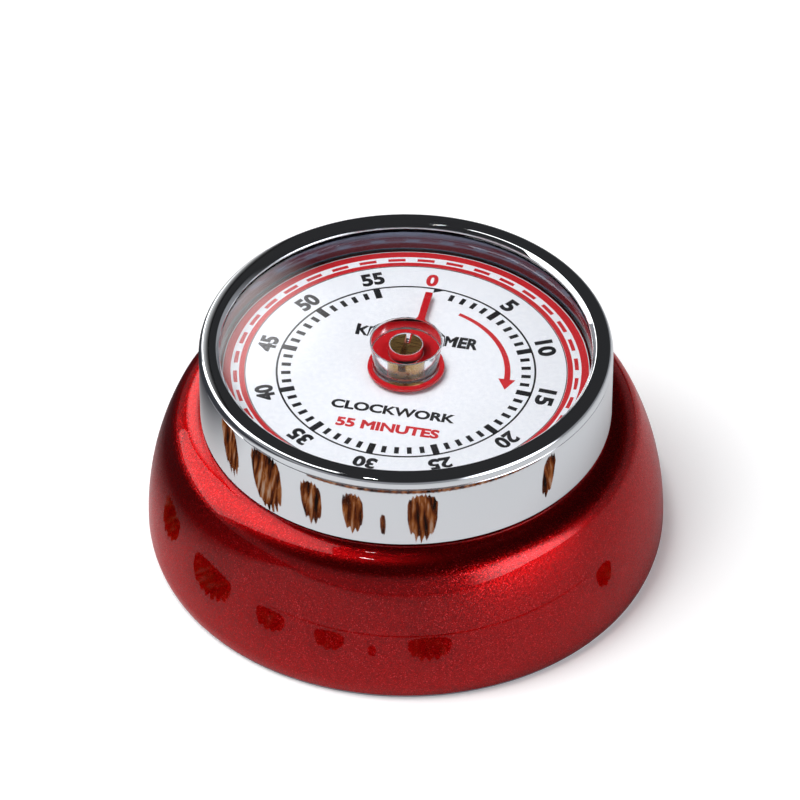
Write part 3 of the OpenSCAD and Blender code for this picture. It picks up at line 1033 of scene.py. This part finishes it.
@dataclass
class DialPrint:
    """What is printed on the dial: rings, minute marks, numerals, the arrow and plain words."""

    palette: Palette
    film: float = 0.02
    lift: float = 0.002
    first_mark: float = 4.5
    step: float = 6.0
    minutes: int = 55
    minute_circle: Point = (17.06, 17.32)
    thin_circle: Point = (21.34, 21.46)
    long_mark: Triple = (15.2, 17.12, 0.9)
    short_mark: Triple = (15.35, 16.6, 0.62)
    numeral_r: float = 19.2
    numeral_h: float = 2.2
    digit_w: float = 1.42
    zero_w: float = 1.35
    words_h: float = 1.55
    words_w: float = 16.4
    inner_red: Point = (21.5, 22.2)
    dashes: Point = (22.46, 22.98)
    outer_red: Point = (23.35, 24.4)
    dash_count: int = 36
    dash_start: float = 2.0
    dash_sweep: float = 5.9
    # the radius and angle of each corner of the wedge that shows where the minutes start
    wedge: tuple[Point, ...] = ((16.35, 1.0), (17.12, 5.6), (17.12, 1.0))
    top: float = field(init=False)

    def __post_init__(self) -> None:
        """Finds the dial's face."""
        self.top = box_mm("dial")[1].z

    def angle(self, minute: int) -> float:
        """Gives the place of a minute.

        Args:
            minute: which minute.

        Returns:
            Its clockwise angle from +Y, in degrees.
        """
        return self.first_mark + self.step * minute

    def build(self) -> None:
        """Makes the black and the red print."""
        self.lay("black_print", self.black(), self.palette.black_ink)
        self.lay("red_print", self.red(), self.palette.red_ink)

    def lay(self, name: str, bm: bmesh.types.BMesh, ink: bpy.types.Material) -> None:
        """Lays one colour of print on the dial.

        Args:
            name: the piece's name.
            bm: its mesh, in millimetres.
            ink: its material.
        """
        settle(finish_mesh(name, bm, ink, 30), Body.CASE, Slot.DIAL)

    def span(self) -> tuple[float, float]:
        """Finds where a film of ink lies.

        Returns:
            The heights of its underside and its top.
        """
        return (self.top + self.lift, self.top + self.film)

    def black(self) -> bmesh.types.BMesh:
        """Draws the minute ring, the marks, the numerals and a line of words.

        Returns:
            The black print.
        """
        bm = bmesh.new()
        low, high = self.span()
        for circle in (self.minute_circle, self.thin_circle):
            add_band(bm, *circle, low, high, steps=CIRCLE_STEPS)
        for minute in range(1, self.minutes + 1):
            self.add_mark(bm, self.angle(minute), *(self.short_mark if minute % 5 else self.long_mark))
        add_prism(bm, [clock(*corner) for corner in self.wedge], low, high)
        for minute in range(5, self.minutes + 1, 5):
            numeral = str(minute)
            width = self.digit_w * len(numeral)
            self.add_text(bm, numeral, self.numeral_r, self.angle(minute), self.numeral_h, width)
        self.add_text(bm, "KITCHEN TIMER", 7.0, 0.0, 2.0, self.words_w, straight=True)
        self.add_text(bm, "CLOCKWORK", 8.3, 180.0, self.words_h, self.words_w, straight=True, bold=0.04)
        return bm

    def red(self) -> bmesh.types.BMesh:
        """Draws the zero, the two red rings, the dashes, the arrow and a word.

        Returns:
            The red print.
        """
        bm = bmesh.new()
        low, high = self.span()
        for circle in (self.inner_red, self.outer_red):
            add_band(bm, *circle, low, high, steps=CIRCLE_STEPS)
        pitch = 360 / self.dash_count
        for k in range(self.dash_count):
            start = pitch * k + self.dash_start
            add_band(bm, *self.dashes, low, high, start=start, sweep=self.dash_sweep, steps=6)
        self.add_text(bm, "0", self.numeral_r - 0.4, -1.0, self.numeral_h, self.zero_w)
        self.add_text(bm, "55 MINUTES", 11.7, 180.0, self.words_h, 13.6, straight=True)
        self.add_arrow(bm)
        return bm

    def add_mark(
        self, bm: bmesh.types.BMesh, degrees: float, inner: float, outer: float, width: float
    ) -> None:
        """Adds one minute mark.

        Args:
            bm: the mesh.
            degrees: its clockwise angle.
            inner: where it starts, from the middle.
            outer: where it ends.
            width: its width.
        """
        along = Vector(clock(1.0, degrees))
        across = Vector(clock(1.0, degrees + 90)) * width / 2
        near, far = along * inner, along * outer
        ends = [near + across, far + across, far - across, near - across]
        add_prism(bm, [tuple(p) for p in ends], *self.span())

    def add_arrow(self, bm: bmesh.types.BMesh) -> None:
        """Adds the curved arrow that shows which way to turn the ring.

        Args:
            bm: the mesh.
        """
        radius, start, end, tip = 13.5, 20.0, 86.0, 94.5
        thin, thick, head = 0.26, 0.4, 1.15
        tip_out, inner_back = 0.1, 0.5
        steps = 40
        outer, inner = [], []
        for k in range(steps + 1):
            share = k / steps
            half = thin + (thick - thin) * share
            place = start + (end - start) * share
            outer.append(clock(radius + half, place))
            inner.append(clock(radius - half, place))
        low, high = self.span()
        for k in range(steps):
            add_prism(bm, [outer[k + 1], outer[k], inner[k], inner[k + 1]], low, high)
        barbs = [
            clock(radius + head, end),
            clock(radius + tip_out, tip),
            clock(radius - head, end - inner_back),
        ]
        add_prism(bm, barbs, low, high)

    def add_text(
        self,
        bm: bmesh.types.BMesh,
        words: str,
        radius: float,
        degrees: float,
        height: float,
        width: float,
        straight: bool = False,
        bold: float = 0.045,
    ) -> None:
        """Adds a numeral or a line of plain words.

        Args:
            bm: the mesh.
            words: what it says.
            radius: distance of its middle from the dial's middle.
            degrees: clockwise angle of its middle.
            height: height of the letters.
            width: width of the whole text.
            straight: True for a line that reads level with the zero at the top.
            bold: how far the strokes are thickened each way, as a share of the letter size.
        """
        curve = bpy.data.curves.new(words, "FONT")
        curve.body = words
        curve.size = 1.0
        curve.resolution_u = 4
        # a curve becomes a mesh only through an object in the scene
        obj = bpy.data.objects.new(words, curve)
        bpy.context.scene.collection.objects.link(obj)
        graph = bpy.context.evaluated_depsgraph_get()
        flat = bpy.data.meshes.new_from_object(obj.evaluated_get(graph))
        bpy.data.objects.remove(obj)
        xs = [v.co.x for v in flat.vertices]
        ys = [v.co.y for v in flat.vertices]
        middle = Vector(((min(xs) + max(xs)) / 2, (min(ys) + max(ys)) / 2, 0))
        scale = Vector((width / (max(xs) - min(xs)), height / (max(ys) - min(ys)), 1))
        turn = 0.0 if straight else -math.radians(degrees)
        x, y = clock(radius, degrees)
        low, high = self.span()
        spin = Matrix.Rotation(turn, 4, "Z")
        letters = bmesh.new()
        letters.from_mesh(flat)
        bmesh.ops.remove_doubles(letters, verts=letters.verts, dist=1e-5)
        thicken(letters, bold)
        for vert in letters.verts:
            local = Vector((a * b for a, b in zip(vert.co - middle, scale)))
            vert.co = spin @ Vector((local.x, local.y, 0)) + Vector((x, y, low))
        raised = bmesh.ops.extrude_face_region(letters, geom=list(letters.faces))
        for item in raised["geom"]:
            if isinstance(item, bmesh.types.BMVert):
                item.co.z = high
        joined = bpy.data.meshes.new(words)
        letters.to_mesh(joined)
        letters.free()
        bm.from_mesh(joined)
        bpy.data.meshes.remove(joined)
        bpy.data.meshes.remove(flat)


@dataclass
class Movement:
    """The CAD pieces that stay as they are and only get their finishes."""

    palette: Palette
    nodes: dict[str, bpy.types.Object]

    def build(self) -> None:
        """Dresses every CAD node that shows its own mesh."""
        finishes = {
            self.palette.dial: ["dial"],
            self.palette.brass: [
                "main_arbor", "great_wheel", "clutch_collar", "second_wheel", "third_wheel", "escape_wheel",
                "strike_wheel", "front_plate", "back_plate", "spring_barrel", "balance_bar", "hammer_arm",
            ],
            self.palette.steel: [
                "second_arbor", "third_arbor", "escape_arbor", "strike_arbor", "pallet_arbor", "pallet_lever",
                "pallet_pins", "hammer_arbor", "hammer_verge", "verge_pins", "hammer_head", "alarm_lever",
                "alarm_lever_arbor", "stop_pin", "alarm_cam",
            ],
            self.palette.zinc: [
                "base_plate", "base_screws", "base_standoffs", "magnet_keeper", "keeper_rivet", "bell_post",
                "bell", "bell_screw", "plate_pillars", "pillar_screws", "movement_screws",
            ],
            self.palette.spring: ["clutch_spring", "mainspring"],
            self.palette.ferrite: ["magnets"],
        }
        for material, names in finishes.items():
            for name in names:
                for place in self.nodes[name].material_slots:
                    place.material = material
            log.info("finish %s on %d nodes", material.name, len(names))


# ---------- studio ----------


@dataclass(frozen=True)
class Glow:
    """A soft bright area of the room: its place, the radii of its middle and its fade, and its strength."""

    azimuth: float
    elevation: float
    inner: float
    outer: float
    strength: float


@dataclass(frozen=True)
class Card:
    """A card that the ring mirrors: the angle of its streak, half its width, and its near and far ends."""

    turn: float
    half: float
    near: float
    far: float


@dataclass(frozen=True)
class Softbox:
    """A soft light that faces the timer: its direction, distance, size and power in watts."""

    name: str
    azimuth: float
    elevation: float
    distance: float
    size: Point
    power: float


@dataclass
class Studio:
    """The floor, the lights, the surroundings and the camera."""

    # the camera
    azimuth: float = 12.0
    elevation: float = 41.2
    distance: float = 800.0
    lens: float = 268.6
    aside: float = -0.8
    aim_z: float = 22.3
    # the floor and the room
    floor_half: float = 3000.0
    floor_lift: float = 0.15
    # where the floor's painted shade lies, which only mirrored and bounced rays see
    shade_azimuth: float = -125.0
    shade_mm: Point = (26.0, 52.0)
    horizon: float = 0.4
    ceiling: float = 0.035
    horizon_band: Point = (0.2, 0.5)
    # the lights, which hang round this height
    centre_z: float = 15.0
    window: Softbox = Softbox("left_window", -97.0, 42.0, 560.0, (500.0, 740.0), 3.2)
    spark: Softbox = Softbox("overhead_spark", -26.0, 74.0, 700.0, (46.0, 20.0), 0.22)
    key: Softbox = Softbox("matt_key", -60.0, 66.0, 900.0, (620.0, 620.0), 8.8)
    veil_at: Point = (-143.0, 34.0)
    veil_distance: float = 560.0
    veil_mm: Point = (80.0, 170.0)
    veil_strength: float = 4.2
    glows: tuple[Glow, ...] = (Glow(66.0, 6.0, 5.0, 30.0, 6.2),)
    # the brown cards on the floor: streaks in one turn, streaks in a metre outwards, and height
    streaks_round: float = 150.0
    streaks_out: float = 90.0
    card_z: float = 0.3
    cards: tuple[Card, ...] = (
        Card(-58.0, 3.8, 22.0, 38.0),
        Card(-42.5, 5.4, 18.5, 38.0),
        Card(-27.4, 3.2, 20.0, 34.5),
        Card(-15.0, 3.0, 20.0, 34.0),
        Card(-6.5, 0.8, 20.0, 27.0),
        Card(4.6, 4.2, 18.5, 35.5),
        Card(43.5, 2.2, 22.0, 36.0),
        Card(6.0, 34.0, 36.2, 38.0),
    )

    def direction(self, azimuth: float, elevation: float) -> Vector:
        """Gives the direction from the timer to a place round it.

        Args:
            azimuth: degrees round from -Y towards +X.
            elevation: degrees above the floor.

        Returns:
            A unit vector.
        """
        a, e = math.radians(azimuth), math.radians(elevation)
        return Vector((math.sin(a) * math.cos(e), -math.cos(a) * math.cos(e), math.sin(e)))

    def build(self) -> None:
        """Makes the floor, lights, surroundings and camera."""
        self.add_camera()
        self.add_floor()
        self.add_cards()
        self.add_veil()
        self.add_surroundings()
        self.add_lights()

    def add_camera(self) -> None:
        """Sets up the camera."""
        camera = bpy.data.cameras.new("camera")
        camera.lens = self.lens
        camera.sensor_width = 36.0
        camera.clip_start = 0.01
        camera.clip_end = 20.0
        obj = bpy.data.objects.new("camera", camera)
        right = Vector((math.cos(math.radians(self.azimuth)), math.sin(math.radians(self.azimuth)), 0))
        target = right * self.aside + Vector((0, 0, self.aim_z))
        towards = self.direction(self.azimuth, self.elevation)
        obj.location = (target + towards * self.distance) * MM
        obj.rotation_euler = towards.to_track_quat("Z", "Y").to_euler()
        bpy.context.scene.collection.objects.link(obj)
        bpy.context.scene.camera = obj

    def add_floor(self) -> None:
        """Lays the pale floor, which looks white and throws less light back at the timer, with painted shade
        on one side of what it throws back.
        """
        bm = bmesh.new()
        bmesh.ops.create_grid(bm, x_segments=1, y_segments=1, size=self.floor_half)
        material, tree = empty_material("pale_floor")
        matt = add_node(tree, "ShaderNodeBsdfDiffuse", inputs={"Color": linear("#fdfdfd")})
        lift = add_node(tree, "ShaderNodeEmission", inputs={"Strength": self.floor_lift})
        seen = add_node(tree, "ShaderNodeAddShader", links={0: matt.outputs[0], 1: lift.outputs[0]})
        place = add_node(tree, "ShaderNodeTexCoord").outputs["Object"]
        # painted shade: for mirrored and bounced rays the floor turns dark beyond shade_mm towards
        # shade_azimuth
        shade = self.direction(self.shade_azimuth, 0.0)
        reach = add_vector_math(tree, "DOT_PRODUCT", place, tuple(shade))
        span = (self.shade_mm[0] * MM, self.shade_mm[1] * MM)
        tone = add_fade(tree, reach.outputs["Value"], span)
        ramp = add_node(tree, "ShaderNodeValToRGB", links={0: tone})
        set_ramp(ramp, [(0.0, "#dedfe0"), (1.0, "#3c3d42")])
        thrown = add_node(tree, "ShaderNodeBsdfDiffuse", links={"Color": ramp.outputs[0]})
        path = add_node(tree, "ShaderNodeLightPath")
        mix = add_node(
            tree,
            "ShaderNodeMixShader",
            links={0: path.outputs["Is Camera Ray"], 1: thrown.outputs[0], 2: seen.outputs[0]},
        )
        add_node(tree, "ShaderNodeOutputMaterial", links={"Surface": mix.outputs[0]})
        finish_mesh("pale_floor", bm, material, 30)

    def add_surroundings(self) -> None:
        """Makes a room with a pale horizon, a dark ceiling and a soft glow low on one side."""
        world = bpy.data.worlds.new("studio")
        bpy.context.scene.world = world
        world.use_nodes = True
        tree = world.node_tree
        tree.nodes.clear()
        place = add_node(tree, "ShaderNodeTexCoord").outputs["Generated"]
        height = add_node(tree, "ShaderNodeSeparateXYZ", links={0: place}).outputs[2]
        level = add_fade(tree, height, self.horizon_band, (self.horizon, self.ceiling))
        for glow in self.glows:
            share = self.add_glow(tree, place, glow)
            level = add_node(tree, "ShaderNodeMath", links={0: level, 1: share}).outputs[0]
        path = add_node(tree, "ShaderNodeLightPath")
        pale = add_node(
            tree, "ShaderNodeBackground", inputs={"Color": linear("#eceef4")}, links={"Strength": level}
        )
        white = add_node(tree, "ShaderNodeBackground", inputs={"Color": (1, 1, 1, 1), "Strength": 1.0})
        mix = add_node(
            tree,
            "ShaderNodeMixShader",
            links={0: path.outputs["Is Camera Ray"], 1: pale.outputs[0], 2: white.outputs[0]},
        )
        add_node(tree, "ShaderNodeOutputWorld", links={"Surface": mix.outputs[0]})

    def add_glow(
        self, tree: bpy.types.NodeTree, place: bpy.types.NodeSocket, glow: Glow
    ) -> bpy.types.NodeSocket:
        """Adds a round soft-edged bright area of the room.

        Args:
            tree: the world's node tree.
            place: the direction that is looked up.
            glow: the area.

        Returns:
            The socket of its strength.
        """
        towards = self.direction(glow.azimuth, glow.elevation)
        near = add_vector_math(tree, "DOT_PRODUCT", place, tuple(towards))
        span = (math.cos(math.radians(glow.outer)), math.cos(math.radians(glow.inner)))
        return add_fade(tree, near.outputs["Value"], span, (0.0, glow.strength))

    def add_lights(self) -> None:
        """Hangs the soft lights."""
        window = self.add_softbox(self.window)
        # it shines on gloss only, so that the dial stays evenly lit
        window.visible_diffuse = False
        self.add_softbox(self.spark)
        key = self.add_softbox(self.key)
        # it lifts the dial and the floor, and leaves the gloss to the other lights
        key.visible_glossy = False

    def hang(self, obj: bpy.types.Object, azimuth: float, elevation: float, distance: float) -> None:
        """Puts a light or a card in its place, facing the timer.

        Args:
            obj: the light or card.
            azimuth: degrees round from -Y towards +X.
            elevation: degrees above the floor.
            distance: how far off it is.
        """
        towards = self.direction(azimuth, elevation)
        obj.location = (towards * distance + Vector((0, 0, self.centre_z))) * MM
        obj.rotation_euler = towards.to_track_quat("Z", "Y").to_euler()

    def add_softbox(self, box: Softbox) -> bpy.types.Object:
        """Hangs one soft light that faces the timer.

        Args:
            box: the light.

        Returns:
            The light's object.
        """
        light = bpy.data.lights.new(box.name, "AREA")
        light.shape = "RECTANGLE"
        light.size, light.size_y = box.size[0] * MM, box.size[1] * MM
        light.energy = box.power
        obj = bpy.data.objects.new(box.name, light)
        self.hang(obj, box.azimuth, box.elevation, box.distance)
        # the clear cover passes lamp light on as it is, so its bent rays bring none
        obj.visible_transmission = False
        bpy.context.scene.collection.objects.link(obj)
        return obj

    def add_veil(self) -> None:
        """Hangs a soft-edged card behind on the left, which the clear cover mirrors as a pale veil."""
        bm = bmesh.new()
        bmesh.ops.create_circle(bm, cap_ends=True, segments=64, radius=self.veil_mm[1])
        material, tree = empty_material("soft_white_card")
        place = add_node(tree, "ShaderNodeTexCoord").outputs["Object"]
        out = add_vector_math(tree, "LENGTH", place)
        span = (self.veil_mm[0] * MM, self.veil_mm[1] * MM)
        level = add_fade(tree, out.outputs["Value"], span, (self.veil_strength, 0.0))
        glow = add_node(tree, "ShaderNodeEmission", links={"Strength": level})
        add_node(tree, "ShaderNodeOutputMaterial", links={"Surface": glow.outputs[0]})
        veil = finish_mesh("soft_white_card", bm, material, 30)
        self.hang(veil, *self.veil_at, self.veil_distance)
        self.only_for_gloss(veil)

    def only_for_gloss(self, obj: bpy.types.Object) -> None:
        """Hides a card from everything except mirrored rays.

        Args:
            obj: the card.
        """
        obj.visible_camera = False
        obj.visible_diffuse = False
        obj.visible_shadow = False
        obj.visible_transmission = False

    def add_cards(self) -> None:
        """Lays brown cards round the timer: its gloss mirrors them as streaks on the ring and spots below."""
        ring_r = box_mm("bezel_ring")[1].x
        bm = bmesh.new()
        for card in self.cards:
            self.add_card(bm, ring_r, card)
        material, tree = empty_material("brown_card")
        place = add_node(tree, "ShaderNodeTexCoord").outputs["Object"]
        # the tone changes with the way round and the way out, so that it mirrors as upright streaks
        turn = add_node(
            tree, "ShaderNodeTexGradient", {"gradient_type": "RADIAL"}, links={"Vector": place}
        ).outputs[1]
        out = add_vector_math(tree, "LENGTH", place).outputs["Value"]
        polar = add_node(tree, "ShaderNodeCombineXYZ", links={0: turn, 1: out}).outputs[0]
        stretch = (self.streaks_round, self.streaks_out, 0.0)
        scaled = add_vector_math(tree, "MULTIPLY", polar, stretch).outputs[0]
        tone = add_node(
            tree, "ShaderNodeTexNoise", inputs={"Scale": 1.0, "Detail": 4.0}, links={"Vector": scaled}
        )
        ramp = add_node(tree, "ShaderNodeValToRGB", links={0: tone.outputs[0]})
        set_ramp(ramp, [(0.38, "#1d1512"), (0.48, "#5f2b15"), (0.58, "#995a30"), (0.68, "#b89a84")])
        glow = add_node(
            tree, "ShaderNodeEmission", inputs={"Strength": 1.0}, links={"Color": ramp.outputs[0]}
        )
        add_node(tree, "ShaderNodeOutputMaterial", links={"Surface": glow.outputs[0]})
        cards = finish_mesh("brown_cards", bm, material, 30)
        self.only_for_gloss(cards)

    def add_card(self, bm: bmesh.types.BMesh, ring_r: float, card: Card) -> None:
        """Adds one card where the ring mirrors it towards the camera.

        Args:
            bm: the mesh, in millimetres.
            ring_r: radius of the chromed ring.
            card: where on the ring its streak stands.
        """
        steps = max(6, round(card.half * 4))
        middle = (card.near + card.far) / 2
        # the ends are uneven, as such streaks are
        last: list[bmesh.types.BMVert] = []
        for k in range(steps + 1):
            share = 2 * k / steps - 1
            rim = math.sqrt(max(0.0, 1 - share * share))
            sway = math.sin(1.9 * k + card.turn) + 0.5 * math.sin(4.1 * k)
            near = middle + (card.near - middle) * (0.2 + 0.75 * rim + 0.12 * sway * rim)
            far = middle + (card.far - middle) * (0.5 + 0.5 * rim + 0.1 * math.cos(2.7 * k + card.turn))
            turn = card.turn + card.half * share
            start = clock(ring_r, 180 - self.azimuth - turn)
            ends = []
            for reach in (near, far):
                along = clock(reach, 180 - self.azimuth - 2 * turn)
                ends.append(bm.verts.new((start[0] + along[0], start[1] + along[1], self.card_z)))
            if last:
                bm.faces.new((last[0], ends[0], ends[1], last[1]))
            last = ends


def main() -> None:
    """Builds the timer's looks round the frame."""
    logging.basicConfig(level=logging.INFO, format="%(name)s: %(message)s")
    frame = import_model()
    bpy.context.scene.view_settings.view_transform = "Standard"
    palette = Palette()
    Studio().build()
    Case(palette).build()
    SettingRing(palette).build()
    DialPrint(palette).build()
    Movement(palette, frame["nodes"]).build()


if __name__ == "__main__":
    main()
